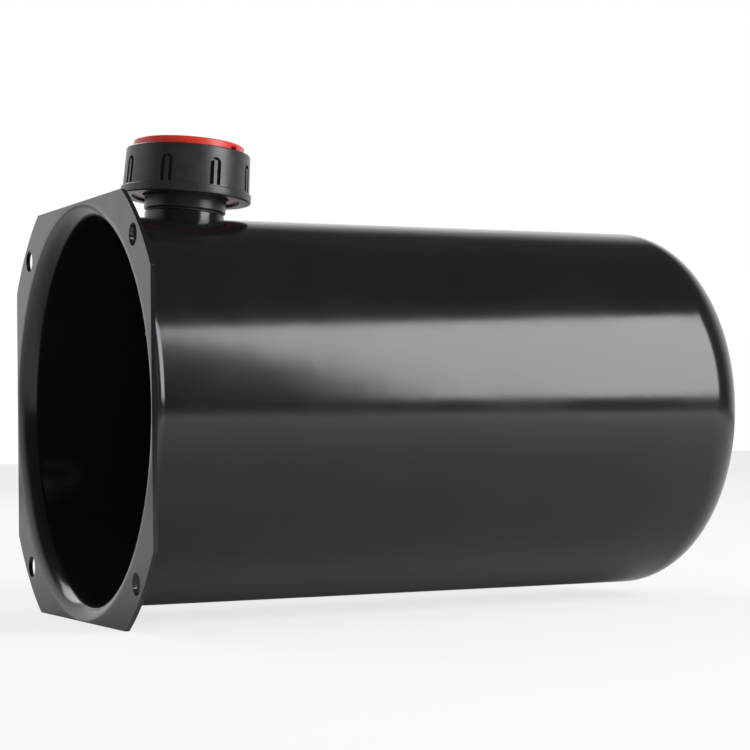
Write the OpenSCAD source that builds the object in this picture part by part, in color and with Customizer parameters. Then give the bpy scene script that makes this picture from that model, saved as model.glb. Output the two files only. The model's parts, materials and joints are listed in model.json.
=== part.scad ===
// Horizontal steel reservoir for a small pump unit, with a screw-on filler breather.
// The tank is one deep-drawn shell: a square mounting flange with trimmed corners at
// the open mouth, a rounded draw radius, a straight barrel and a dished closed end.
// The origin is the centre of the flange's front face. +X runs along the tank towards
// the closed end, +Z is up and the filler stands on top.

/* [Tank shell] */
// Outside diameter of the barrel
barrel_d = 178; // [170:1:182]
// Length from the flange's front face to the crown of the closed end
tank_len = 323; // [240:1:420]
// Thickness of the drawn steel sheet
sheet_t = 2; // [1.5:0.1:2.5]
// Radius of the flange's front edge as it rolls into the bore
draw_r = 8.5; // [6:0.5:10]
// Outside radius of the knuckle between the barrel and the dished end
knuckle_r = 24; // [16:1:30]
// Outside radius of the dished end's crown
crown_r = 193; // [160:1:260]

/* [Mounting flange] */
// How far the flange's sides stand out past the barrel
flange_reach = 6; // [5:0.5:9]
// Distance from a side of the flange to the centre of a bolt hole
bolt_edge = 21; // [19:0.5:23]
// Distance from a bolt hole's centre to the trimmed corner
corner_reach = 7.35; // [7:0.05:9]
// Diameter of the bolt holes
bolt_hole_d = 10; // [8:0.5:11]

/* [Filler boss] */
// Distance of the filler's axis behind the flange's front face, at the barrel's surface
filler_x = 52; // [45:1:120]
// Lean of the filler's axis towards the closed end, in degrees
filler_lean = 4.8; // [0:0.2:8]
// Wall of the welded steel boss
boss_wall = 1.85; // [1.5:0.05:3]
// Height of the boss's top above the barrel, along the filler's axis
boss_rise = 2.6; // [2:0.1:6]
// Length of the boss below its weld bead
boss_tail = 0.8; // [0.4:0.1:4]
// Height of the weld bead around the boss, inside the tank
weld_leg = 1.2; // [0.8:0.1:1.6]

/* [Filler neck] */
// Outside diameter of the neck's thread for the cap
neck_thread_d = 39.8; // [39.2:0.1:40.4]
// Step from the thread down to the plain collar below it
collar_step = 0.9; // [0.5:0.1:1.2]
// Length of the neck above its gasket
neck_len = 23.4; // [21:0.2:28]
// Length of the plain collar under the thread
neck_collar_len = 7.9; // [6:0.1:9]
// Length of the spigot below the gasket
spigot_len = 12; // [9:0.5:16]
// Wall of the spigot that screws into the boss
spigot_wall = 1.6; // [1.3:0.1:2]
// Wall of the neck around the strainer's rim
rim_wall = 2.9; // [2.4:0.1:3.4]
// Width of the ledge under the strainer's rim
rim_ledge = 2; // [1.5:0.1:2.5]
// Depth of the seat that holds the strainer's rim
rim_seat_depth = 2.2; // [1.5:0.1:3]
// Thickness of the gasket under the neck
gasket_t = 1; // [0.8:0.1:2]
// Width of that gasket's ring
gasket_w = 1.05; // [0.7:0.05:1.4]

/* [Strainer] */
// Radial clearance of the cage in the neck's bore
cage_clear = 0.7; // [0.4:0.1:1.2]
// Wall of the cage
cage_wall = 1.4; // [1:0.1:1.8]
// Length of the cage from the neck's rim to its floor
cage_len = 82; // [60:1:95]
// Posts around the cage
cage_posts = 4; // [3:1:6]
// Rows of windows along the cage
cage_rows = 3; // [2:1:4]
// Width of the cage's posts and hoops
cage_bar = 3; // [2:0.5:4]
// Thickness of the strainer's mesh
mesh_t = 0.4; // [0.3:0.1:0.6]

/* [Cap grip ring] */
// Wall of the ring at its top edge
ring_wall = 3.9; // [3.4:0.1:4.4]
// How far the ring widens from its top edge to its lower band, on the radius
ring_taper = 0.7; // [0:0.1:1]
// How far the lower band stands out, on the radius
band_step = 0.9; // [0.4:0.1:1.2]
// Height of the lower band
band_h = 4.1; // [3:0.1:5]
// Height of the ring's top edge above the seal on the neck's rim
ring_rise = 3; // [2.4:0.1:4]
// Number of grip slots around the ring
slot_count = 8; // [6:1:10]
// Width of a grip slot
slot_w = 5.4; // [4.6:0.1:6]
// Depth of a grip slot
slot_depth = 1.7; // [1:0.1:2]
// Distance from the ring's top edge to the top of a slot
slot_drop = 5.3; // [4.5:0.1:7]
// Height of a slot's lower end above the band
slot_foot = 0.4; // [0.2:0.1:1.5]
// Width of the rib inside a grip slot
slot_rib_w = 1.7; // [1.2:0.1:2]
// Angle of the first slot, in degrees
slot_start = 5.2; // [0:0.1:44]

/* [Cap core] */
// Wall of the core around the neck's thread
core_wall = 4.85; // [4.2:0.05:5.5]
// How far the core's top disc stands out over the ring
disc_lip = 0.85; // [0.5:0.05:2]
// Height of the disc above the ring
disc_h = 3.7; // [3:0.1:5]
// Recess of the core's lower edge above the ring's lower edge
core_recess = 1.2; // [0.6:0.1:2]
// Width of the disc's flat rim around its dish
dish_rim = 4.7; // [3:0.1:7]
// Depth of that dish
dish_depth = 0.8; // [0.4:0.1:1.2]
// Diameter of the breather chamber inside the core
chamber_d = 29; // [26:0.5:29.6]
// Thickness of the chamber's roof under the dish
roof_t = 1.2; // [1:0.1:1.5]
// Width of the vents under the disc
vent_w = 4; // [3:0.5:5]
// Height of the vents
vent_h = 1; // [0.6:0.1:1.2]
// Angle of the first vent, in degrees
vent_start = -57.6; // [-90:0.1:90]
// Height of the cap's lower edge above the neck's gasket
cap_gap = 5.6; // [4:0.1:6.4]

/* [Cap inner pieces] */
// Thickness of the flat seal on the neck's rim
seal_t = 1.6; // [1.2:0.1:2.2]
// Inside diameter of the seal
seal_bore_d = 30.4; // [29.8:0.1:32]
// Thickness of the plate that holds the foam
retainer_t = 1.2; // [0.8:0.1:1.6]
// Lift of that plate above the seal's top face
retainer_lift = 0.4; // [0.2:0.1:0.8]
// Holes in the outer ring of the plate
retainer_holes = 10; // [6:1:12]
// Diameter of those holes
retainer_hole_d = 2.6; // [2:0.1:3]

/* [Clearances] */
// Radial clearance where a piece is screwed, welded or pressed in for good
fixed_clear = 0.05; // [0.02:0.01:0.08]
// Radial clearance of the cap's thread on the neck
screw_clear = 0.1; // [0.05:0.01:0.1]
// Radial clearance of the loose seal inside the cap
seal_clear = 0.4; // [0.3:0.1:0.6]
// Clearance between the seal and the core above it
seal_gap = 0.2; // [0.1:0.05:0.3]
// Radial clearance of the strainer's rim in its seat
rim_clear = 0.1; // [0.05:0.05:0.3]

/* [Hidden] */
$fn = 96;
over = 1;              // how far a cutting shape runs past the face that it cuts
edge = 0.8;            // chamfer on moulded edges
fine = 0.001;          // step of the knuckle's place, so that its neighbours meet it exactly
mesh_seat = 0.02;      // gap between the strainer's mesh and its cage
barrel_r = barrel_d / 2;
bore_r = barrel_r - sheet_t;
flat_r = bore_r + draw_r;                // where the flange's flat face begins
flange_side = barrel_d + 2 * flange_reach;
bolt_spacing = flange_side - 2 * bolt_edge;
corner_r = bolt_spacing / sqrt(2) + corner_reach;
knuckle_c = barrel_r - knuckle_r;        // radius of the knuckle's centre line
crown_c = tank_len - crown_r;            // centre of the crown on the tank's axis
head_h = sqrt(pow(crown_r - knuckle_r, 2) - pow(knuckle_c, 2));
knuckle_x = round((crown_c + head_h) / fine) * fine;    // where the knuckle begins
thread_r = neck_thread_d / 2;            // radii around the filler's axis
rim_seat_r = thread_r - rim_wall;
neck_bore_r = rim_seat_r - rim_ledge;
spigot_r = neck_bore_r + spigot_wall;
boss_bore_r = spigot_r + fixed_clear;
boss_r = boss_bore_r + boss_wall;
cage_r = neck_bore_r - cage_clear;
cage_bore_r = cage_r - cage_wall;
core_bore_r = thread_r + screw_clear;
core_r = core_bore_r + core_wall;
ring_bore_r = core_r + fixed_clear;
ring_top_r = ring_bore_r + ring_wall;
ring_base_r = ring_top_r + ring_taper;
band_r = ring_base_r + band_step;
disc_r = core_r + disc_lip;
bead_h = weld_leg + barrel_r - sqrt(pow(bore_r, 2) - pow(boss_r, 2));
neck_base = boss_rise + gasket_t;        // heights along the filler's axis
neck_top = neck_base + neck_len;
seal_top = neck_top + seal_t;
core_seat = seal_top + seal_gap;
core_base = neck_base + cap_gap + core_recess;
ring_base = neck_base + cap_gap;
ring_top = seal_top + ring_rise;
band_top = ring_base + band_h;
disc_top = ring_top + disc_h;
chamber_top = disc_top - dish_depth - roof_t;
retainer_base = seal_top + retainer_lift;
retainer_top = retainer_base + retainer_t;
cage_base = neck_top - cage_len;
cage_rim_base = neck_top - rim_seat_depth;
vent_count = 2;
rib_drop = 0.4;        // how far the rib in a grip slot lies below the ring's surface
hole_ring_part = 0.64; // radius of the retainer's ring of holes, as a part of its own
weld_toe = 0.1;        // width of the weld bead at its lower end
weld_slope = 0.6;      // widening of the weld bead for each millimetre of height
weld_fn = 240;         // the bead is thin, so its rounds are finer than the rest

// ---------- shared shapes ----------

// Turns a shape drawn around +Z so that it stands along the tank's axis.
module along_tank() {
    rotate([0, 90, 0]) children();
}

// Moves a shape drawn around +Z onto the filler's leaning axis.
module on_filler() {
    translate([filler_x, 0, barrel_r]) rotate([0, filler_lean, 0]) children();
}

// A plain tube between two heights.
module tube(outer_r, inner_r, low, high) {
    translate([0, 0, low]) difference() {
        cylinder(r = outer_r, h = high - low);
        translate([0, 0, -over]) cylinder(r = inner_r, h = high - low + 2 * over);
    }
}

// The quarter of a flat ring that lies towards a corner of its bounding square.
module ring_quarter(outer_r, inner_r, corner) {
    intersection() {
        difference() {
            circle(r = outer_r);
            circle(r = inner_r);
        }
        polygon([[0, 0], [corner.x, 0], corner, [0, corner.y]] * outer_r);
    }
}

// ---------- tank ----------

// Wedge on the crown's side of the line through the centres of crown and knuckle.
module crown_side() {
    polygon([[0, crown_c], [2 * knuckle_c, crown_c + 2 * head_h], [0, crown_c + 2 * crown_r]]);
}

// Wall of the shell as a half section: radius along x, tank axis along y.
module shell_section() {
    translate([flat_r, draw_r]) ring_quarter(draw_r, draw_r - sheet_t, [-1, -1]);
    translate([bore_r, draw_r]) square([sheet_t, knuckle_x - draw_r]);
    difference() {
        translate([knuckle_c, knuckle_x]) ring_quarter(knuckle_r, knuckle_r - sheet_t, [1, 1]);
        crown_side();
    }
    intersection() {
        translate([0, crown_c]) ring_quarter(crown_r, crown_r - sheet_t, [1, 1]);
        crown_side();
    }
}

// Outline of the flange, with the draw radius's flat part left to the section above.
module flange_outline() {
    difference() {
        intersection() {
            square(flange_side, center = true);
            circle(r = corner_r);
        }
        circle(r = flat_r);
    }
}

module tank_shell() {
    color([0.03, 0.03, 0.035]) difference() {
        along_tank() union() {
            linear_extrude(sheet_t) flange_outline();
            intersection() {
                rotate_extrude() shell_section();
                translate([-flange_side / 2, -flange_side / 2, 0])
                    cube([flange_side, flange_side, tank_len + over]);
            }
        }
        for (y = [-1, 1], z = [-1, 1])
            translate([-over, y * bolt_spacing / 2, z * bolt_spacing / 2])
                along_tank() cylinder(d = bolt_hole_d, h = sheet_t + 2 * over);
        on_filler() translate([0, 0, -barrel_r / 2])
            cylinder(r = boss_r + fixed_clear, h = barrel_r / 2 + boss_rise + over);
    }
}

// ---------- filler boss ----------

module filler_boss() {
    color([0.03, 0.03, 0.035]) on_filler()
        tube(boss_r, boss_bore_r, -bead_h - boss_tail, boss_rise);
}

// Bead around the boss inside the tank: a cone whose top is cut by the bore, so that it
// follows the saddle where the boss passes through the sheet.
module boss_weld() {
    top_r = boss_r + bead_h * weld_slope;
    color([0.03, 0.03, 0.035]) intersection() {
        on_filler() translate([0, 0, -bead_h]) difference() {
            cylinder(r1 = boss_r + weld_toe, r2 = top_r, h = bead_h, $fn = weld_fn);
            translate([0, 0, -over]) cylinder(r = boss_r, h = bead_h + 2 * over, $fn = weld_fn);
        }
        along_tank() cylinder(r = bore_r, h = 2 * filler_x, $fn = weld_fn);
    }
}

// ---------- filler neck ----------

module filler_neck() {
    collar_r = thread_r - collar_step;
    thread_base = neck_base + neck_collar_len;
    color([0.05, 0.05, 0.055]) on_filler() rotate_extrude() polygon([
        [neck_bore_r, neck_base - spigot_len],
        [spigot_r - edge, neck_base - spigot_len],
        [spigot_r, neck_base - spigot_len + edge],
        [spigot_r, neck_base],
        [collar_r - edge / 2, neck_base],
        [collar_r, neck_base + edge / 2],
        [collar_r, thread_base],
        [thread_r, thread_base + edge],
        [thread_r, neck_top - edge],
        [thread_r - edge, neck_top],
        [rim_seat_r, neck_top],
        [rim_seat_r, cage_rim_base],
        [neck_bore_r, cage_rim_base]]);
}

module neck_gasket() {
    color([0.02, 0.02, 0.02]) on_filler()
        tube(boss_bore_r + gasket_w, boss_bore_r, boss_rise, neck_base);
}

// ---------- strainer ----------

// Moulded cage: a rim that hangs in the neck, and a tube cut away to posts and hoops.
module strainer_cage() {
    plain = spigot_len + neck_len;                      // stretch inside the neck
    row_pitch = (cage_len - plain - cage_bar) / cage_rows;
    window_w = 2 * cage_r * sin(180 / cage_posts) - cage_bar;
    color([0.85, 0.85, 0.8]) on_filler() difference() {
        union() {
            tube(rim_seat_r - rim_clear, cage_bore_r, cage_rim_base, neck_top);
            tube(cage_r, cage_bore_r, cage_base, cage_rim_base);
            tube(cage_r, cage_bore_r - cage_bar, cage_base, cage_base + cage_wall);
        }
        for (row = [0 : cage_rows - 1], post = [0 : cage_posts - 1])
            translate([0, 0, cage_base + cage_bar + row * row_pitch])
                rotate([0, 0, post * 360 / cage_posts])
                    translate([cage_bore_r / 2, -window_w / 2, 0])
                        cube([cage_r, window_w, row_pitch - cage_bar]);
    }
}

module strainer_sleeve() {
    sleeve_r = cage_bore_r - mesh_seat;
    color([0.7, 0.7, 0.7]) on_filler()
        tube(sleeve_r, sleeve_r - mesh_t, cage_base + cage_wall + mesh_t, cage_rim_base);
}

module strainer_floor() {
    color([0.7, 0.7, 0.7]) on_filler() translate([0, 0, cage_base + cage_wall])
        cylinder(r = cage_bore_r - mesh_seat, h = mesh_t);
}

// ---------- cap ----------

module cap_seal() {
    color([0.02, 0.02, 0.02]) on_filler()
        tube(core_bore_r - seal_clear, seal_bore_d / 2, neck_top, seal_top);
}

// Red core: top disc, threaded skirt and the breather chamber with its vents.
module cap_core() {
    dish_r = disc_r - dish_rim;
    color([0.75, 0.06, 0.02]) on_filler() difference() {
        rotate_extrude() polygon([
            [0, chamber_top],
            [chamber_d / 2, chamber_top],
            [chamber_d / 2, core_seat],
            [core_bore_r, core_seat],
            [core_bore_r, core_base + edge],
            [core_bore_r + edge, core_base],
            [core_r, core_base],
            [core_r, ring_top],
            [disc_r, ring_top],
            [disc_r, disc_top - edge],
            [disc_r - edge, disc_top],
            [dish_r, disc_top],
            [dish_r - dish_depth, disc_top - dish_depth],
            [0, disc_top - dish_depth]]);
        for (i = [0 : vent_count - 1])
            rotate([0, 0, vent_start + i * 360 / vent_count])
                translate([chamber_d / 2 - over, -vent_w / 2, ring_top])
                    cube([disc_r, vent_w, vent_h]);
    }
}

// Cutter for one grip slot: round-topped, with the rib inside it left standing.
module grip_slot() {
    slot_base = band_top + slot_foot;
    slot_top = ring_top - slot_drop;
    floor_r = ring_top_r - slot_depth;
    rib_r = ring_top_r - rib_drop;
    difference() {
        translate([floor_r, 0, 0]) rotate([90, 0, 90]) linear_extrude(band_r) {
            translate([-slot_w / 2, slot_base])
                square([slot_w, slot_top - slot_w / 2 - slot_base]);
            translate([0, slot_top - slot_w / 2]) circle(d = slot_w);
        }
        translate([0, -slot_rib_w / 2, band_top])
            cube([rib_r, slot_rib_w, slot_top - slot_rib_w / 2 - band_top]);
    }
}

module cap_grip_ring() {
    color([0.06, 0.06, 0.065]) on_filler() difference() {
        rotate_extrude() polygon([
            [ring_bore_r, ring_base],
            [band_r - edge, ring_base],
            [band_r, ring_base + edge],
            [band_r, band_top - edge],
            [ring_base_r, band_top],
            [ring_top_r, ring_top - edge],
            [ring_top_r - edge, ring_top],
            [ring_bore_r, ring_top]]);
        for (i = [0 : slot_count - 1])
            rotate([0, 0, slot_start + i * 360 / slot_count]) grip_slot();
    }
}

// Plate pressed into the core under the foam, with a ring of holes and one at its centre.
module breather_retainer() {
    plate_r = chamber_d / 2 - fixed_clear;
    hole_ring_r = plate_r * hole_ring_part;
    color([0.08, 0.08, 0.085]) on_filler() difference() {
        translate([0, 0, retainer_base]) cylinder(r = plate_r, h = retainer_t);
        for (i = [0 : retainer_holes])
            rotate([0, 0, i * 360 / retainer_holes])
                translate([i < retainer_holes ? hole_ring_r : 0, 0, retainer_base - over])
                    cylinder(d = retainer_hole_d, h = retainer_t + 2 * over);
    }
}

module breather_foam() {
    color([0.2, 0.2, 0.22]) on_filler() translate([0, 0, retainer_top])
        cylinder(r = chamber_d / 2 - fixed_clear, h = chamber_top - retainer_top);
}

tank_shell();
filler_boss();
boss_weld();
filler_neck();
neck_gasket();
strainer_cage();
strainer_sleeve();
strainer_floor();
cap_seal();
cap_core();
cap_grip_ring();
breather_retainer();
breather_foam();
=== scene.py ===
# %% [markdown]
# # Pump reservoir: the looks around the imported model
#
# The object is a deep-drawn steel tank with a square mouth flange, painted gloss black,
# and a moulded filler breather screwed into a boss on its top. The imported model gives
# every position. This script adds what the eye sees: paint, moulded plastic, rounded
# edges, draw wrinkles and the neck's thread. All lengths are in metres.

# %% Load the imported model
import json
import math

import bmesh
import bpy
from mathutils import Matrix, Vector, noise


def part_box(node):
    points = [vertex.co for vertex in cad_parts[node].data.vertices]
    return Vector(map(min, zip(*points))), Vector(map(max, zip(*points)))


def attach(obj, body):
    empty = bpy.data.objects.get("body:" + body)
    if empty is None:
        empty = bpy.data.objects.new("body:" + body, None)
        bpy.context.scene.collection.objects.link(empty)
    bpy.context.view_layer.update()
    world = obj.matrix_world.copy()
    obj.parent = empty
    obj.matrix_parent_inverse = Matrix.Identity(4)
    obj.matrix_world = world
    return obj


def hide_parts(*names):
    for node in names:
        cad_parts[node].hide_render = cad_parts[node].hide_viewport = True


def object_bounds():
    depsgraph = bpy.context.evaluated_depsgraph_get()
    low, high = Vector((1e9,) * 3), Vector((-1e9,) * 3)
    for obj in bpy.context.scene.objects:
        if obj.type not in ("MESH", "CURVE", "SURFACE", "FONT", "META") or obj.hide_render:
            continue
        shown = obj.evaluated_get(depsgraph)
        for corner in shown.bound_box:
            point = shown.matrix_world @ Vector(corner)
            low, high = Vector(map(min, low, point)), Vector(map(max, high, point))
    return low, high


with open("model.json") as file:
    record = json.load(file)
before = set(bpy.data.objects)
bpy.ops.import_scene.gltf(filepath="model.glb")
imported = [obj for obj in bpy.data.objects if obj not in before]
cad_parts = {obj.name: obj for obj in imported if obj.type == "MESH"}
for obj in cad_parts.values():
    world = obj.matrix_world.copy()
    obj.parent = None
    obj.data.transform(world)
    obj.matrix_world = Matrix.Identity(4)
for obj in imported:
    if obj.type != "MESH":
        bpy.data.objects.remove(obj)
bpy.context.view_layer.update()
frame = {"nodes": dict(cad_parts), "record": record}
MM = 0.001

# %% [markdown]
# ## The filler's axis
#
# Everything above the tank stands on one leaning axis. It could be typed in again, but
# the record already holds it as the axis of the cap's turning joint, so it is read from
# there. Pieces are made round +Z first, because spinning is simplest there, and are then
# carried onto this axis in their meshes.

# %% Read the axis from the cap's joint
cap_turn = next(j for j in frame["record"]["behaviour"]["joints"] if j["name"] == "cap_turn")
filler_foot = Vector(cap_turn["pos_m"])
filler_dir = Vector(cap_turn["axis"]).normalized()
filler_lean = math.atan2(filler_dir.x, filler_dir.z)
ON_FILLER = Matrix.Translation(filler_foot) @ Matrix.Rotation(filler_lean, 4, "Y")
print("filler leans", round(math.degrees(filler_lean), 2), "degrees")

# %% [markdown]
# ## Modelling helpers
#
# Most pieces here are turned shapes, so the main helper draws half a section and spins it.
# A section is a list of (radius, height) pairs. Arcs in a section come from `arc`, so that
# a rounded edge has a true radius. Boolean cuts make the holes and slots, and a bevel on
# the sharp edges that are left gives the thin highlight that paint or moulding leaves.

# %% Sections, spins, cuts and bevels
def arc(centre, radius, start, end, steps):
    """Points of an arc, in (radius, height) pairs, between two angles in degrees."""
    angles = [math.radians(start + (end - start) * i / steps) for i in range(steps + 1)]
    return [(centre[0] + radius * math.cos(a), centre[1] + radius * math.sin(a)) for a in angles]


def spun(section, steps, closed=True):
    """A bmesh of a section, in millimetres, spun once round +Z."""
    bm = bmesh.new()
    line = [bm.verts.new((r * MM, 0, h * MM)) for r, h in section]
    ends = line[1:] + line[:1] if closed else line[1:]
    edges = [bm.edges.new(pair) for pair in zip(line, ends)]
    bmesh.ops.spin(bm, geom=line + edges, cent=(0, 0, 0), axis=(0, 0, 1), dvec=(0, 0, 0),
                   angle=2 * math.pi, steps=steps, use_merge=True, use_duplicate=False)
    bmesh.ops.remove_doubles(bm, verts=bm.verts, dist=1e-6)
    bmesh.ops.recalc_face_normals(bm, faces=bm.faces)
    return bm


def block(size, centre, turn=None):
    """A bmesh of a plain box, used as a cutter."""
    bm = bmesh.new()
    place = Matrix.Translation(Vector(centre) * MM) @ Matrix.Diagonal((*[s * MM for s in size], 1))
    bmesh.ops.create_cube(bm, size=1, matrix=(turn or Matrix()) @ place)
    return bm


def rod(radius, low, high, place, steps=96):
    """A bmesh of a plain round bar between two heights, used as a cutter."""
    bm = bmesh.new()
    middle = Matrix.Translation((0, 0, (low + high) / 2 * MM))
    bmesh.ops.create_cone(bm, cap_ends=True, segments=steps, radius1=radius * MM,
                          radius2=radius * MM, depth=(high - low) * MM, matrix=place @ middle)
    return bm


def piece(name, bm):
    """Makes a linked object from a bmesh and frees the bmesh."""
    mesh = bpy.data.meshes.new(name)
    bm.to_mesh(mesh)
    bm.free()
    made = bpy.data.objects.new(name, mesh)
    bpy.context.scene.collection.objects.link(made)
    return made


def combine(target, cutters, operation="DIFFERENCE"):
    """Cuts or joins each bmesh with an object, and keeps the result as its own mesh."""
    for bm in cutters:
        tool = piece("cutter", bm)
        change = target.modifiers.new("cut", "BOOLEAN")
        change.operation = operation
        change.solver = "EXACT"
        change.object = tool
        bpy.context.view_layer.update()
        done = target.evaluated_get(bpy.context.evaluated_depsgraph_get())
        mesh = bpy.data.meshes.new_from_object(done)
        target.modifiers.clear()
        old = target.data
        target.data = mesh
        mesh.name = target.name
        bpy.data.meshes.remove(old)
        bpy.data.meshes.remove(tool.data)


def round_edges(target, width, segments=3, over_angle=40):
    """Bevels every edge that is sharper than an angle, and returns how many there were."""
    bm = bmesh.new()
    bm.from_mesh(target.data)
    bmesh.ops.remove_doubles(bm, verts=bm.verts, dist=2e-6)
    bmesh.ops.dissolve_degenerate(bm, edges=bm.edges, dist=2e-6)
    sharp = [e for e in bm.edges
             if len(e.link_faces) == 2 and e.calc_face_angle(0) > math.radians(over_angle)]
    bmesh.ops.bevel(bm, geom=sharp, offset=width * MM, offset_type="OFFSET", segments=segments,
                    profile=0.5, affect="EDGES", material=-1, clamp_overlap=True)
    bm.to_mesh(target.data)
    bm.free()
    return len(sharp)


def finished(target, body, material, stands_for=(), place=None):
    """Carries a piece to its place, smooths it, gives it its material, hangs it on its body and hides
    the CAD parts it stands for.
    """
    if place is not None:
        target.data.transform(place)
    target.data.polygons.foreach_set("use_smooth", [True] * len(target.data.polygons))
    weighted = target.modifiers.new("even normals", "WEIGHTED_NORMAL")
    weighted.weight = 50
    weighted.keep_sharp = True
    target.data.materials.clear()
    target.data.materials.append(material)
    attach(target, body)
    if stands_for:
        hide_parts(*stands_for)
    print(target.name, "faces:", len(target.data.polygons))
    return target

# %% [markdown]
# ## Shared surface effects
#
# Sprayed enamel never lies quite flat: it has a fine orange-peel swell, a few pits and
# faint smears. Moulded plastic has a fine grain and slightly uneven gloss. Both effects
# are node groups with named inputs, so that each material places them with its own
# values. They read Object coordinates, so the pattern stays on the piece as it moves.

# %% Node helpers
def node_group(name, inputs, outputs):
    """An empty node group with named sockets, and its input and output nodes."""
    tree = bpy.data.node_groups.new(name, "ShaderNodeTree")
    for socket, kind, value in inputs:
        tree.interface.new_socket(socket, in_out="INPUT", socket_type=kind).default_value = value
    for socket, kind in outputs:
        tree.interface.new_socket(socket, in_out="OUTPUT", socket_type=kind)
    return tree, tree.nodes.new("NodeGroupInput"), tree.nodes.new("NodeGroupOutput")


def add(tree, kind, values=None, links=None, **settings):
    """Adds a node, sets its sockets by name or number, and links others into it."""
    made = tree.nodes.new(kind)
    for key, value in settings.items():
        setattr(made, key, value)
    for key, value in (values or {}).items():
        made.inputs[key].default_value = value
    for key, source in (links or {}).items():
        tree.links.new(source, made.inputs[key])
    return made


FLOAT = "NodeSocketFloat"
VECTOR = "NodeSocketVector"
COLOUR = "NodeSocketColor"


def noise_at(tree, where, scale, detail=2.0, rough=0.5):
    """A noise pattern whose scale may be a number or a socket."""
    made = add(tree, "ShaderNodeTexNoise", {"Detail": detail, "Roughness": rough}, {"Vector": where})
    if isinstance(scale, (int, float)):
        made.inputs["Scale"].default_value = scale
    else:
        tree.links.new(scale, made.inputs["Scale"])
    return made.outputs["Fac"]


def remap(tree, value, low, high, to_low, to_high):
    """Stretches a value between two limits onto two new ones."""
    made = add(tree, "ShaderNodeMapRange",
               {"From Min": low, "From Max": high, "To Min": to_low, "To Max": to_high},
               {"Value": value})
    return made.outputs["Result"]


def maths(tree, operation, first, second):
    """One step of arithmetic between sockets or plain numbers."""
    made = tree.nodes.new("ShaderNodeMath")
    made.operation = operation
    for slot_number, source in enumerate((first, second)):
        if isinstance(source, (int, float)):
            made.inputs[slot_number].default_value = source
        else:
            tree.links.new(source, made.inputs[slot_number])
    return made.outputs[0]

# %% The paint film and the moulded grain
def make_paint_film():
    """Height of a sprayed coat: a slow swell, orange peel and a few pits. Smears as a mask."""
    tree, given, out = node_group(
        "Paint film",
        [("Vector", VECTOR, (0, 0, 0)), ("Swell", FLOAT, 0.5), ("Peel", FLOAT, 0.2),
         ("Pits", FLOAT, 0.4)],
        [("Height", FLOAT), ("Smear", FLOAT)])
    where = given.outputs["Vector"]
    swell = maths(tree, "MULTIPLY", noise_at(tree, where, 55, 1), given.outputs["Swell"])
    peel = maths(tree, "MULTIPLY", noise_at(tree, where, 420, 2), given.outputs["Peel"])
    cells = add(tree, "ShaderNodeTexVoronoi", {"Scale": 70.0}, {"Vector": where})
    pit = remap(tree, cells.outputs["Distance"], 0.0, 0.09, 1.0, 0.0)
    rare = remap(tree, noise_at(tree, where, 22, 2), 0.58, 0.66, 0.0, 1.0)
    pits = maths(tree, "MULTIPLY", maths(tree, "MULTIPLY", pit, rare), given.outputs["Pits"])
    height = maths(tree, "SUBTRACT", maths(tree, "ADD", swell, peel), pits)
    tree.links.new(height, out.inputs["Height"])
    smear = remap(tree, noise_at(tree, where, 14, 4, 0.6), 0.35, 0.75, 0.0, 1.0)
    tree.links.new(smear, out.inputs["Smear"])
    return tree


def make_moulded_grain():
    """Fine grain of a moulded surface as a height, and slow mottling as a mask."""
    tree, given, out = node_group(
        "Moulded grain",
        [("Vector", VECTOR, (0, 0, 0)), ("Grain scale", FLOAT, 2500.0)],
        [("Height", FLOAT), ("Mottle", FLOAT)])
    where = given.outputs["Vector"]
    fine = noise_at(tree, where, given.outputs["Grain scale"], 2)
    slow = noise_at(tree, where, 260, 3)
    tree.links.new(maths(tree, "ADD", fine, slow), out.inputs["Height"])
    mottle = remap(tree, noise_at(tree, where, 120, 4, 0.6), 0.3, 0.7, 0.0, 1.0)
    tree.links.new(mottle, out.inputs["Mottle"])
    return tree


paint_film = make_paint_film()
moulded_grain = make_moulded_grain()
print("groups:", paint_film.name, "and", moulded_grain.name)

# %% Material helper
def material(name):
    """A new material with its tree, its shader and the object's own coordinates."""
    made = bpy.data.materials.new(name)
    made.use_nodes = True
    tree = made.node_tree
    shader = tree.nodes["Principled BSDF"]
    where = tree.nodes.new("ShaderNodeTexCoord").outputs["Object"]
    return made, tree, shader, where


def use_group(tree, group, where, values=None):
    """Places a node group in a material and sets its named inputs."""
    made = tree.nodes.new("ShaderNodeGroup")
    made.node_tree = group
    tree.links.new(where, made.inputs["Vector"])
    for key, value in (values or {}).items():
        made.inputs[key].default_value = value
    return made


def bump(tree, shader, height, depth):
    """Feeds a height, in metres at full value, to the shader's normal."""
    made = add(tree, "ShaderNodeBump", {"Strength": 1.0, "Distance": depth}, {"Height": height})
    tree.links.new(made.outputs["Normal"], shader.inputs["Normal"])


def between(tree, fac, first, second):
    """Mixes two colours by a mask."""
    made = tree.nodes.new("ShaderNodeMix")
    made.data_type = "RGBA"
    made.inputs[6].default_value = (*first, 1)
    made.inputs[7].default_value = (*second, 1)
    tree.links.new(fac, made.inputs[0])
    return made.outputs[2]

# %% [markdown]
# ## Tank paint
#
# Gloss black enamel over drawn steel. The colour is nearly black, and nearly everything
# the eye sees is the room mirrored in the film, so the roughness and the swell of the
# film matter more than the colour. A plain black shader would look like glass.

# %% Gloss black enamel
def make_tank_paint():
    made, tree, shader, where = material("gloss black enamel")
    film = use_group(tree, paint_film, where, {"Swell": 1.0, "Peel": 0.12, "Pits": 0.5})
    tint = between(tree, film.outputs["Smear"], (0.0075, 0.0075, 0.0085), (0.011, 0.011, 0.012))
    tree.links.new(tint, shader.inputs["Base Color"])
    rough = remap(tree, film.outputs["Smear"], 0.0, 1.0, 0.13, 0.19)
    tree.links.new(rough, shader.inputs["Roughness"])
    shader.inputs["IOR"].default_value = 1.5
    bump(tree, shader, film.outputs["Height"], 0.00006)
    return made


tank_paint = make_tank_paint()

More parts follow.
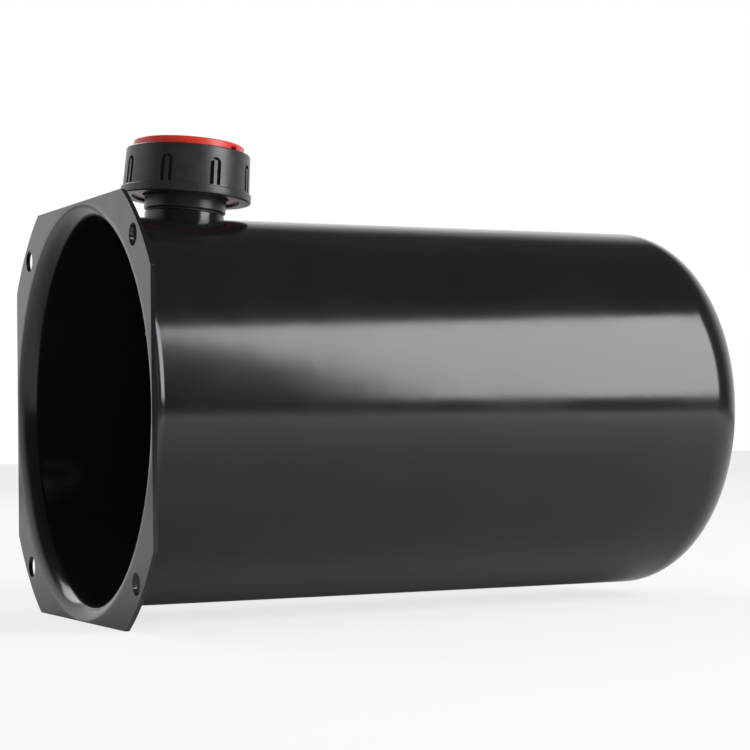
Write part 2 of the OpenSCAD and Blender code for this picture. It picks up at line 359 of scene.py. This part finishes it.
# %% [markdown]
# ## Moulded plastics
#
# The grip ring and the neck are black nylon with a satin face, and the core is red. Both
# share the moulded grain. The red core is a little glossier, because its mould is polished.

# %% Black nylon, red plastic and natural nylon
def make_plastic(name, colours, roughness, grain_depth, grain_scale):
    made, tree, shader, where = material(name)
    grain = use_group(tree, moulded_grain, where, {"Grain scale": grain_scale})
    tree.links.new(between(tree, grain.outputs["Mottle"], *colours), shader.inputs["Base Color"])
    rough = remap(tree, grain.outputs["Mottle"], 0.0, 1.0, *roughness)
    tree.links.new(rough, shader.inputs["Roughness"])
    shader.inputs["IOR"].default_value = 1.53
    bump(tree, shader, grain.outputs["Height"], grain_depth)
    return made


black_nylon = make_plastic("black nylon", ((0.016, 0.017, 0.018), (0.024, 0.025, 0.026)),
                           (0.3, 0.38), 0.00001, 2600)
red_plastic = make_plastic("red plastic", ((0.6, 0.022, 0.008), (0.66, 0.03, 0.012)),
                           (0.3, 0.38), 0.000006, 2600)
natural_nylon = make_plastic("natural nylon", ((0.7, 0.68, 0.6), (0.76, 0.74, 0.67)),
                             (0.42, 0.52), 0.00001, 2200)
seal_rubber = make_plastic("seal rubber", ((0.012, 0.012, 0.012), (0.02, 0.02, 0.02)),
                           (0.5, 0.65), 0.00001, 1800)
print("plastics:", [m.name for m in (black_nylon, red_plastic, natural_nylon, seal_rubber)])

# %% [markdown]
# ## Strainer mesh and breather foam
#
# The strainer's mesh is plain woven stainless wire. Two crossed waves give the over and
# under of the weave as a height, and the same pattern paints shade into the gaps between
# the wires. The foam is open-cell, so its cells come from a Voronoi pattern, which also
# paints shade into the cell pockets.

# %% Woven wire and foam
def make_wire_mesh():
    made, tree, shader, where = material("woven wire")
    waves = []
    for direction in ("Z", "DIAGONAL"):
        wave = add(tree, "ShaderNodeTexWave", {"Scale": 900.0}, {"Vector": where})
        wave.bands_direction = direction
        waves.append(wave.outputs["Fac"])
    height = maths(tree, "MULTIPLY", *waves)
    # Painted shade: where the weave's height is low, in the gaps between the wires, the colour goes to
    # dark grey; the wire itself is pale steel.
    tree.links.new(between(tree, height, (0.12, 0.12, 0.12), (0.6, 0.6, 0.58)),
                   shader.inputs["Base Color"])
    shader.inputs["Metallic"].default_value = 1.0
    rough = remap(tree, noise_at(tree, where, 400, 2), 0.3, 0.7, 0.28, 0.42)
    tree.links.new(rough, shader.inputs["Roughness"])
    bump(tree, shader, height, 0.0001)
    return made


def make_foam():
    made, tree, shader, where = material("open-cell foam")
    cells = add(tree, "ShaderNodeTexVoronoi", {"Scale": 900.0}, {"Vector": where})
    cell_depth_and_shade = remap(tree, cells.outputs["Distance"], 0.1, 0.6, 0.0, 1.0)
    # Painted shade: the cell pockets are coloured near black and the struts between them a lighter
    # grey; the same mask also gives the bump.
    tree.links.new(between(tree, cell_depth_and_shade, (0.02, 0.02, 0.022), (0.12, 0.12, 0.13)),
                   shader.inputs["Base Color"])
    shader.inputs["Roughness"].default_value = 0.9
    bump(tree, shader, cell_depth_and_shade, 0.0003)
    return made


wire_mesh = make_wire_mesh()
filter_foam = make_foam()

# %% [markdown]
# ## The drawn tank
#
# The real tank starts as a flat disc that a press draws into a cup. What is left of the
# disc becomes the flange: it keeps the draw radius at the mouth and faint radial wrinkles,
# and it is trimmed square afterwards. The model follows the same order. One section is
# spun into a cup with a round brim, the brim is wrinkled, four planes trim it square, and
# the bolt holes and the filler's hole are cut last.

# %% Spin the cup with its round brim
BARREL_R = 89.0
SHEET = 2.0
BORE_R = BARREL_R - SHEET
DRAW_R = 8.5
KNUCKLE_R = 24.0
CROWN_R = 193.0
KNUCKLE_C = BARREL_R - KNUCKLE_R
tank_low, tank_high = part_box("tank_shell")
TANK_LEN = tank_high[0] / MM
FLANGE_SIDE = tank_high[1] / MM
CROWN_C = TANK_LEN - CROWN_R
HEAD_H = math.sqrt((CROWN_R - KNUCKLE_R) ** 2 - KNUCKLE_C ** 2)
KNUCKLE_X = CROWN_C + HEAD_H
BRIM_R = 112.0
FLAT_R = BORE_R + DRAW_R
crown_end = math.degrees(math.atan2(HEAD_H, KNUCKLE_C))
TURN_STEPS = 480


def stretch(first, last, steps):
    """Points between two ends of a straight run, without the ends themselves."""
    return [tuple(a + (b - a) * i / steps for a, b in zip(first, last)) for i in range(1, steps)]


inner = (arc((0, CROWN_C), CROWN_R - SHEET, 90, crown_end, 22)[:-1]
         + arc((KNUCKLE_C, KNUCKLE_X), KNUCKLE_R - SHEET, crown_end, 0, 14)
         + stretch((BORE_R, KNUCKLE_X), (BORE_R, DRAW_R), 6)
         + arc((FLAT_R, DRAW_R), DRAW_R, 180, 270, 12))
brim = stretch((FLAT_R, 0), (BRIM_R, 0), 14) + [(BRIM_R, 0), (BRIM_R, SHEET)]
brim += stretch((BRIM_R, SHEET), (FLAT_R, SHEET), 14)
outer = (arc((FLAT_R, DRAW_R), DRAW_R - SHEET, 270, 180, 10)
         + stretch((BARREL_R, DRAW_R), (BARREL_R, KNUCKLE_X), 8)
         + arc((KNUCKLE_C, KNUCKLE_X), KNUCKLE_R, 0, crown_end, 16)[:-1]
         + arc((0, CROWN_C), CROWN_R, crown_end, 90, 22))
cup = spun(inner + brim + outer, TURN_STEPS, closed=False)
bmesh.ops.rotate(cup, verts=cup.verts, cent=(0, 0, 0), matrix=Matrix.Rotation(math.pi / 2, 3, "Y"))
print("cup faces:", len(cup.faces))

# %% [markdown]
# The wrinkles run outwards from the mouth and are strongest in two patches, as a blank
# leaves them when the press holds it a little unevenly. Front and back move together, so
# the sheet keeps its thickness.

# %% Wrinkle the brim
WRINKLE = 0.07
WRINKLE_AT = (math.radians(62), math.radians(242))


def wrinkle(point):
    """How far a point of the brim moves along the tank, in metres."""
    radius = math.hypot(point.y, point.z) / MM
    fade = min(max((radius - FLAT_R + 4) / 9, 0), 1)
    turn = math.atan2(point.z, -point.y)
    near = max(math.cos(turn - a) for a in WRINKLE_AT)
    strength = 0.25 + 0.75 * max(near, 0) ** 6
    along = (math.cos(turn) * 9, math.sin(turn) * 9, radius * 0.012)
    return fade * fade * strength * WRINKLE * MM * noise.noise(Vector(along))


for vert in cup.verts:
    if vert.co.x < 4 * MM:
        vert.co.x += wrinkle(vert.co)

# %% Trim the brim square
for side in (Vector((0, 1, 0)), Vector((0, -1, 0)), Vector((0, 0, 1)), Vector((0, 0, -1))):
    bmesh.ops.bisect_plane(cup, geom=cup.verts[:] + cup.edges[:] + cup.faces[:], dist=1e-7,
                           plane_co=side * FLANGE_SIDE * MM, plane_no=side, clear_outer=True)
    rim = [e for e in cup.edges if e.is_boundary]
    bmesh.ops.holes_fill(cup, edges=rim, sides=0)
print("open edges:", sum(e.is_boundary for e in cup.edges))
tank = piece("drawn_tank", cup)

# %% Cut the bolt holes and the filler's hole
bolts = next(m for m in frame["record"]["mounts"] if m["name"] == "flange_bolts")["dims"]
ACROSS = Matrix.Rotation(math.pi / 2, 4, "Y")
half = bolts["spacing_x_mm"] / 2
holes = [rod(bolts["hole_r_mm"], -3, 5,
             Matrix.Translation((0, y * half * MM, z * half * MM)) @ ACROSS, 64)
         for y in (-1, 1) for z in (-1, 1)]
BOSS_R = 18.5
combine(tank, holes + [rod(BOSS_R + 0.03, -40, 20, ON_FILLER, 128)])
print("tank edges rounded:", round_edges(tank, 0.35))
finished(tank, "tank", tank_paint, ["tank_shell"])

# %% [markdown]
# ## Boss, gasket and neck
#
# A turned steel boss is welded into the tank from inside, and shows only as a thin ring
# on top. A flat gasket sits on it, in the groove under the neck's collar. The neck is
# moulded with a coarse thread for the cap. The thread is a small section spun with a rise,
# which is how a lathe cuts one, and then joined to the neck.

# %% Boss and gasket
BOSS_RISE = 2.6
GASKET_R = 17.7
NECK_BASE = 3.6
SPIGOT_BORE = 16.65
boss = spun([(SPIGOT_BORE, -6), (BOSS_R - 0.3, -6), (BOSS_R, -5.7)]
            + arc((BOSS_R - 0.5, BOSS_RISE - 0.5), 0.5, 0, 90, 5)
            + [(SPIGOT_BORE + 0.3, BOSS_RISE), (SPIGOT_BORE, BOSS_RISE - 0.3)], 128)
finished(piece("weld_boss", boss), "tank", tank_paint, ["filler_boss"], ON_FILLER)
gasket = spun([(SPIGOT_BORE, BOSS_RISE)]
              + arc((GASKET_R - 0.25, BOSS_RISE + 0.25), 0.25, -90, 0, 3)
              + arc((GASKET_R - 0.25, NECK_BASE - 0.25), 0.25, 0, 90, 3)
              + [(SPIGOT_BORE, NECK_BASE)], 96)
finished(piece("flat_gasket", gasket), "tank", seal_rubber, ["neck_gasket"], ON_FILLER)

# %% Neck with its thread
NECK_TOP = 27.0
COLLAR_R = 19.0
CREST_R = 19.9
ROOT_R = 19.0
LEAD = 4.0
THREAD_LOW = 12.6
THREAD_HIGH = 25.4
neck_section = ([(15, -8.4), (15.8, -8.4), (16.6, -7.6), (16.6, NECK_BASE)]
                + arc((COLLAR_R - 0.6, NECK_BASE + 0.6), 0.6, -90, 0, 4)
                + arc((COLLAR_R - 0.8, NECK_TOP - 0.8), 0.8, 0, 90, 5)
                + [(17.2, NECK_TOP), (17, NECK_TOP - 0.2), (17, NECK_TOP - 2.2), (15, NECK_TOP - 2.2)])
neck = piece("threaded_neck", spun(neck_section, 128))
turns = (THREAD_HIGH - THREAD_LOW) / LEAD
ridge = bmesh.new()
corners = [(ROOT_R - 0.6, -1.1), (ROOT_R, -1.0), (CREST_R, -0.45), (CREST_R, 0.45), (ROOT_R, 1.0),
           (ROOT_R - 0.6, 1.1)]
first = ridge.faces.new([ridge.verts.new((r * MM, 0, (THREAD_LOW + h) * MM)) for r, h in corners])
steps = int(turns * 72)
bmesh.ops.spin(ridge, geom=[first], cent=(0, 0, 0), axis=(0, 0, 1), angle=2 * math.pi * turns,
               dvec=(0, 0, (THREAD_HIGH - THREAD_LOW) / steps * MM), steps=steps,
               use_merge=False, use_duplicate=False)
bmesh.ops.recalc_face_normals(ridge, faces=ridge.faces)
combine(neck, [ridge], "UNION")
print("neck edges rounded:", round_edges(neck, 0.12, 2, 35))
finished(neck, "tank", black_nylon, ["filler_neck"], ON_FILLER)

# %% [markdown]
# ## The cap
#
# The red core is one moulding: a disc on top, a skirt inside the ring and two small vents
# under the disc. The black grip ring is pressed over it. Its eight grip slots are round
# at the top, run down to the lower band and keep a thin rib standing inside each.

# %% Red core
RING_TOP = 31.6
RING_BASE = 9.2
BAND_TOP = 13.3
DISC_TOP = 35.3
DISC_R = 25.7
CORE_R = 24.85
CORE_BORE = 20.0
CORE_BASE = 10.4
SEAL_TOP = 28.6
CHAMBER_R = 14.5
CHAMBER_TOP = 33.3
DISH_R = 21.0
core_section = ([(0, CHAMBER_TOP), (CHAMBER_R, CHAMBER_TOP), (CHAMBER_R, SEAL_TOP),
                 (CORE_BORE, SEAL_TOP), (CORE_BORE, CORE_BASE + 0.6), (CORE_BORE + 0.6, CORE_BASE)]
                + arc((CORE_R - 0.4, CORE_BASE + 0.4), 0.4, -90, 0, 4)
                + [(CORE_R, RING_TOP + 0.02)]
                + arc((DISC_R - 0.3, RING_TOP + 0.32), 0.3, -90, 0, 4)
                + arc((DISC_R - 0.9, DISC_TOP - 0.9), 0.9, 0, 90, 8)
                + arc((DISH_R + 0.3, DISC_TOP - 0.3), 0.3, 90, 135, 3)
                + arc((DISH_R - 0.7, DISC_TOP - 0.4), 0.4, -45, -90, 3)
                + [(0, DISC_TOP - 0.8)])
core = piece("red_core", spun(core_section, 160, closed=False))
VENT_AT = -57.6
vents = [block((14, 4, 1.0), (CHAMBER_R - 1 + 7, 0, RING_TOP + 0.5),
               Matrix.Rotation(math.radians(VENT_AT + turn), 4, "Z")) for turn in (0, 180)]
combine(core, vents)
finished(core, "cap", red_plastic, ["cap_core"], ON_FILLER)

# %% Black grip ring
BAND_R = 30.4
RING_BASE_R = 29.5
RING_TOP_R = 28.8
RING_BORE_R = 24.9
SLOT_COUNT = 8
SLOT_W = 5.4
SLOT_DEPTH = 1.7
SLOT_TOP = RING_TOP - 5.3
SLOT_FOOT = BAND_TOP + 0.4
RIB_W = 1.7
SLOT_START = 5.2
ring_section = ([(RING_BORE_R, RING_BASE + 0.4), (RING_BORE_R + 0.4, RING_BASE)]
                + arc((BAND_R - 0.8, RING_BASE + 0.8), 0.8, -90, 0, 5)
                + arc((BAND_R - 0.7, BAND_TOP - 0.7), 0.7, 0, 70, 5)
                + [(RING_BASE_R, BAND_TOP)]
                + arc((RING_TOP_R - 0.9, RING_TOP - 0.9), 0.9, 2, 90, 7)
                + [(RING_BORE_R + 0.3, RING_TOP), (RING_BORE_R, RING_TOP - 0.3)])
ring = piece("grip_ring", spun(ring_section, 192))


def slot_cutter(turn):
    """A round-topped slot with its rib left out, as one closed cutter."""
    floor_r = RING_TOP_R - SLOT_DEPTH
    outline = ([(-SLOT_W / 2, SLOT_FOOT), (-RIB_W / 2, SLOT_FOOT)]
               + [(-RIB_W / 2, SLOT_TOP - RIB_W * 0.9), (RIB_W / 2, SLOT_TOP - RIB_W * 0.9)]
               + [(RIB_W / 2, SLOT_FOOT), (SLOT_W / 2, SLOT_FOOT)]
               + arc((0, SLOT_TOP - SLOT_W / 2), SLOT_W / 2, 0, 180, 14))
    bm = bmesh.new()
    face = bm.faces.new([bm.verts.new((floor_r * MM, y * MM, z * MM)) for y, z in outline])
    grown = bmesh.ops.extrude_face_region(bm, geom=[face])["geom"]
    moved = [g for g in grown if isinstance(g, bmesh.types.BMVert)]
    bmesh.ops.translate(bm, verts=moved, vec=(8 * MM, 0, 0))
    bmesh.ops.recalc_face_normals(bm, faces=bm.faces)
    bmesh.ops.rotate(bm, verts=bm.verts, cent=(0, 0, 0), matrix=Matrix.Rotation(turn, 3, "Z"))
    return bm


combine(ring, [slot_cutter(math.radians(SLOT_START + 360 / SLOT_COUNT * i))
               for i in range(SLOT_COUNT)])
print("ring edges rounded:", round_edges(ring, 0.3, 2, 50))
finished(ring, "cap", black_nylon, ["cap_grip_ring"], ON_FILLER)

# %% [markdown]
# ## Pieces that keep their CAD shape
#
# The weld, the strainer, the seal and the breather's inside have the right shape already.
# They only need their finish, which goes into the slots of the CAD objects.

# %% Finish the carried-over nodes
FINISHES = {
    "boss_weld": tank_paint, "strainer_cage": natural_nylon, "strainer_sleeve": wire_mesh,
    "strainer_floor": wire_mesh, "cap_seal": seal_rubber, "breather_retainer": black_nylon,
    "breather_foam": filter_foam,
}
for name, finish in FINISHES.items():
    shown = frame["nodes"][name]
    for slot in shown.material_slots:
        slot.material = finish
print("carried over:", ", ".join(FINISHES))

# %% [markdown]
# ## Floor, light and camera
#
# Gloss black shows the room more than itself. The room is a pale floor and backdrop, one
# large soft light in front and above on the closed end's side, and dark space elsewhere.
# The camera stands a little below the tank's axis, in front of the mouth's near side.

# %% Pale floor
low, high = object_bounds()
bm = bmesh.new()
bmesh.ops.create_grid(bm, x_segments=1, y_segments=1, size=6.0,
                      matrix=Matrix.Translation((0, 0, low[2])))
floor = piece("floor", bm)
floor_paint = bpy.data.materials.new("pale floor")
floor_paint.use_nodes = True
tree = floor_paint.node_tree
shader = tree.nodes["Principled BSDF"]
shader.inputs["Base Color"].default_value = (0.8, 0.8, 0.8, 1)
shader.inputs["Roughness"].default_value = 0.9
rays = tree.nodes.new("ShaderNodeLightPath")
glow = add(tree, "ShaderNodeEmission", {"Strength": 1.0})
glow.inputs["Color"].default_value = (1, 1, 1, 1)
mixed = tree.nodes.new("ShaderNodeMixShader")
tree.links.new(maths(tree, "MULTIPLY", rays.outputs["Is Camera Ray"], 0.75), mixed.inputs[0])
tree.links.new(shader.outputs[0], mixed.inputs[1])
tree.links.new(glow.outputs[0], mixed.inputs[2])
tree.links.new(mixed.outputs[0], tree.nodes["Material Output"].inputs[0])
floor.data.materials.append(floor_paint)

# %% World
world = bpy.data.worlds.new("studio")
bpy.context.scene.world = world
world.use_nodes = True
tree = world.node_tree
back = tree.nodes["Background"]
where = tree.nodes.new("ShaderNodeTexCoord").outputs["Generated"]
parts = tree.nodes.new("ShaderNodeSeparateXYZ")
tree.links.new(where, parts.inputs[0])
rise = remap(tree, parts.outputs["Z"], 0.35, 0.6, 1.0, 0.0)
behind = remap(tree, parts.outputs["Y"], -0.2, 0.3, 0.0, 1.0)
sweep = maths(tree, "MULTIPLY", rise, behind)
rays = tree.nodes.new("ShaderNodeLightPath")
seen = maths(tree, "MAXIMUM", rays.outputs["Is Camera Ray"], rays.outputs["Is Transmission Ray"])
glossy = maths(tree, "MULTIPLY", rays.outputs["Is Glossy Ray"],
               maths(tree, "ADD", maths(tree, "MULTIPLY", sweep, 0.93), 0.07))
plain = maths(tree, "MULTIPLY", rays.outputs["Is Diffuse Ray"], 0.5)
strength = maths(tree, "MAXIMUM", maths(tree, "MAXIMUM", seen, glossy), plain)
tree.links.new(strength, back.inputs["Strength"])
back.inputs["Color"].default_value = (1, 1, 1, 1)

# %% Soft lights
def soft_light(name, place, aim, size, power, tint=(1, 1, 1)):
    """A rectangular soft light that looks at a point."""
    data = bpy.data.lights.new(name, "AREA")
    data.shape = "RECTANGLE"
    data.size, data.size_y = size
    data.energy = power
    data.color = tint
    lamp = bpy.data.objects.new(name, data)
    lamp.location = place
    lamp.rotation_euler = (Vector(aim) - Vector(place)).to_track_quat("-Z", "Y").to_euler()
    lamp.visible_camera = False
    bpy.context.scene.collection.objects.link(lamp)
    return lamp


soft_light("front soft light", (1.15, -1.25, 0.75), (0.15, 0, 0), (0.9, 1.3), 30, (0.93, 0.97, 1))
soft_light("rear soft light", (-0.2, 1.6, 1.3), (0.15, 0, 0), (1.4, 0.8), 14)

# %% Camera
YAW = math.radians(26.3)
PITCH = math.radians(1.62)
ROLL = math.radians(-0.75)
look = Vector((math.sin(YAW) * math.cos(PITCH), math.cos(YAW) * math.cos(PITCH), math.sin(PITCH)))
right = Vector((math.cos(YAW), -math.sin(YAW), 0))
up = right.cross(look)
side = math.cos(ROLL) * right + math.sin(ROLL) * up
top = -math.sin(ROLL) * right + math.cos(ROLL) * up
data = bpy.data.cameras.new("camera")
data.sensor_width = 36
data.lens = 101.55
camera = bpy.data.objects.new("camera", data)
camera.matrix_world = Matrix.Translation((-0.30487, -0.92067, -0.01233)) @ Matrix(
    (side, top, -look)).transposed().to_4x4()
bpy.context.scene.collection.objects.link(camera)
bpy.context.scene.camera = camera
bpy.context.scene.view_settings.view_transform = "Standard"
